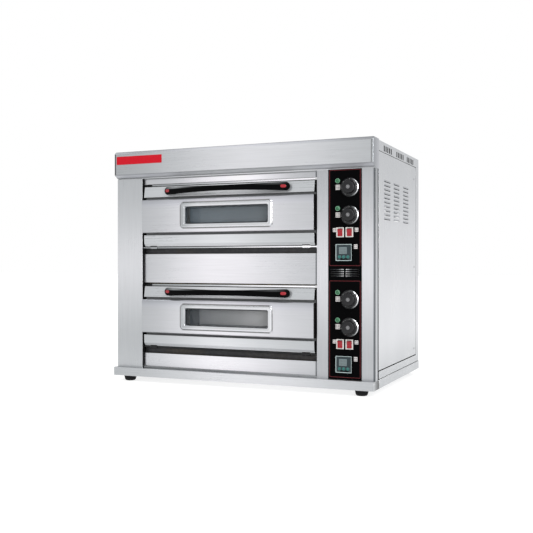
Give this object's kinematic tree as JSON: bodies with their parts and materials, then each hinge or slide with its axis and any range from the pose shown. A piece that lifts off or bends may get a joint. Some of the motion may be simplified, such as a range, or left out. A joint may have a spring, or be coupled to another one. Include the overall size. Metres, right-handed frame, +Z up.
{
  "type": "deck oven",
  "caption": "Floor-standing electric deck oven: stacked baking chambers with drop-down windowed doors and bowed handles, a control column at the right, louvred sides and rubber feet.",
  "frame": {"origin": "on the floor, at the centre of the footprint that includes the handles and the cable gland", "axes": "+X across the oven to the right of a person facing its doors, +Y from the doors to the back, +Z up"},
  "size_m": [1.23, 0.85, 1.0465],
  "materials": {
    "stainless": "brushed stainless sheet",
    "polished_steel": "polished stainless",
    "dark_steel": "dark heat-stained steel",
    "black_panel": "smooth black control panel",
    "red_plate": "plain red plate",
    "hearth": "plain baking hearth",
    "element_sheath": "oxidised heating rod sheath",
    "mineral_wool": "mineral wool",
    "brass": "plain",
    "rubber": "moulded",
    "black_plastic": "moulded",
    "pale_plastic": "moulded",
    "timer_plastic": "moulded",
    "display": "unlit display",
    "green_lens": "signal lens",
    "red_plastic": "rocker",
    "teal_plastic": "push button",
    "glass": "tempered oven glass"
  },
  "bodies": {
    "oven_body": {"base_frame": "stainless", "feet": "rubber", "side_frames": "stainless", "left_column": "stainless", "right_column": "stainless", "hood": "stainless", "nameplate": "red_plate", "top_cover": "stainless", "left_side_panel": "stainless", "right_side_panel": "stainless", "rear_panel": "stainless", "header_panel": "stainless", "middle_panel": "stainless", "kick_panel": "stainless", "door_rails": "polished_steel", "hinge_rods": "polished_steel", "upper_fascia": "black_panel", "lower_fascia": "black_panel", "vent_grille": "dark_steel", "upper_chamber": "dark_steel", "lower_chamber": "dark_steel", "hearth_plates": "hearth", "heating_elements": "element_sheath", "insulation": "mineral_wool", "bulkhead": "stainless", "probes": "brass", "thermostats": "pale_plastic", "pilot_lamps": "green_lens", "switch_housings": "pale_plastic", "timer_housings": "timer_plastic", "timer_displays": "display", "contactors": "black_plastic", "terminal_block": "pale_plastic", "cable_gland": "black_plastic", "screws": "polished_steel"},
    "upper_door": {"upper_door_shell": "stainless", "upper_door_liner": "dark_steel", "upper_window_frame": "polished_steel", "upper_window_glass": "glass", "upper_handle": "black_plastic"},
    "lower_door": {"lower_door_shell": "stainless", "lower_door_liner": "dark_steel", "lower_window_frame": "polished_steel", "lower_window_glass": "glass", "lower_handle": "black_plastic"},
    "upper_top_knob": {"upper_top_knob": "black_plastic"},
    "upper_bottom_knob": {"upper_bottom_knob": "black_plastic"},
    "upper_light_rocker": {"upper_light_rocker": "red_plastic"},
    "upper_power_rocker": {"upper_power_rocker": "red_plastic"},
    "upper_timer_button_1": {"upper_timer_button_1": "teal_plastic"},
    "upper_timer_button_2": {"upper_timer_button_2": "teal_plastic"},
    "upper_timer_button_3": {"upper_timer_button_3": "teal_plastic"},
    "lower_top_knob": {"lower_top_knob": "black_plastic"},
    "lower_bottom_knob": {"lower_bottom_knob": "black_plastic"},
    "lower_light_rocker": {"lower_light_rocker": "red_plastic"},
    "lower_power_rocker": {"lower_power_rocker": "red_plastic"},
    "lower_timer_button_1": {"lower_timer_button_1": "teal_plastic"},
    "lower_timer_button_2": {"lower_timer_button_2": "teal_plastic"},
    "lower_timer_button_3": {"lower_timer_button_3": "teal_plastic"}
  },
  "joints": [
    {"name": "upper_door_hinge", "type": "hinge", "parent": "oven_body", "child": "upper_door", "pos_m": [0, -0.347, 0.608], "axis": [1, 0, 0], "range_deg": [0, 90]},
    {"name": "lower_door_hinge", "type": "hinge", "parent": "oven_body", "child": "lower_door", "pos_m": [0, -0.347, 0.158], "axis": [1, 0, 0], "range_deg": [0, 90]},
    {"name": "upper_top_knob_turn", "type": "hinge", "parent": "oven_body", "child": "upper_top_knob", "pos_m": [0.507, -0.365, 0.847], "axis": [0, 1, 0], "range_deg": [0, 300]},
    {"name": "upper_bottom_knob_turn", "type": "hinge", "parent": "oven_body", "child": "upper_bottom_knob", "pos_m": [0.507, -0.365, 0.734], "axis": [0, 1, 0], "range_deg": [0, 300]},
    {"name": "upper_light_rocker_tip", "type": "hinge", "parent": "oven_body", "child": "upper_light_rocker", "pos_m": [0.466, -0.359, 0.664], "axis": [-1, 0, 0], "range_deg": [0, 14]},
    {"name": "upper_power_rocker_tip", "type": "hinge", "parent": "oven_body", "child": "upper_power_rocker", "pos_m": [0.5055, -0.359, 0.664], "axis": [-1, 0, 0], "range_deg": [0, 14]},
    {"name": "upper_timer_button_1_push", "type": "slide", "parent": "oven_body", "child": "upper_timer_button_1", "axis": [0, 1, 0], "range_m": [0, 0.0015], "stiffness_N_per_m": 600, "springref_m": -0.001},
    {"name": "upper_timer_button_2_push", "type": "slide", "parent": "oven_body", "child": "upper_timer_button_2", "axis": [0, 1, 0], "range_m": [0, 0.0015], "stiffness_N_per_m": 600, "springref_m": -0.001},
    {"name": "upper_timer_button_3_push", "type": "slide", "parent": "oven_body", "child": "upper_timer_button_3", "axis": [0, 1, 0], "range_m": [0, 0.0015], "stiffness_N_per_m": 600, "springref_m": -0.001},
    {"name": "lower_top_knob_turn", "type": "hinge", "parent": "oven_body", "child": "lower_top_knob", "pos_m": [0.507, -0.365, 0.39], "axis": [0, 1, 0], "range_deg": [0, 300]},
    {"name": "lower_bottom_knob_turn", "type": "hinge", "parent": "oven_body", "child": "lower_bottom_knob", "pos_m": [0.507, -0.365, 0.277], "axis": [0, 1, 0], "range_deg": [0, 300]},
    {"name": "lower_light_rocker_tip", "type": "hinge", "parent": "oven_body", "child": "lower_light_rocker", "pos_m": [0.466, -0.359, 0.207], "axis": [-1, 0, 0], "range_deg": [0, 14]},
    {"name": "lower_power_rocker_tip", "type": "hinge", "parent": "oven_body", "child": "lower_power_rocker", "pos_m": [0.5055, -0.359, 0.207], "axis": [-1, 0, 0], "range_deg": [0, 14]},
    {"name": "lower_timer_button_1_push", "type": "slide", "parent": "oven_body", "child": "lower_timer_button_1", "axis": [0, 1, 0], "range_m": [0, 0.0015], "stiffness_N_per_m": 600, "springref_m": -0.001},
    {"name": "lower_timer_button_2_push", "type": "slide", "parent": "oven_body", "child": "lower_timer_button_2", "axis": [0, 1, 0], "range_m": [0, 0.0015], "stiffness_N_per_m": 600, "springref_m": -0.001},
    {"name": "lower_timer_button_3_push", "type": "slide", "parent": "oven_body", "child": "lower_timer_button_3", "axis": [0, 1, 0], "range_m": [0, 0.0015], "stiffness_N_per_m": 600, "springref_m": -0.001}
  ]
}
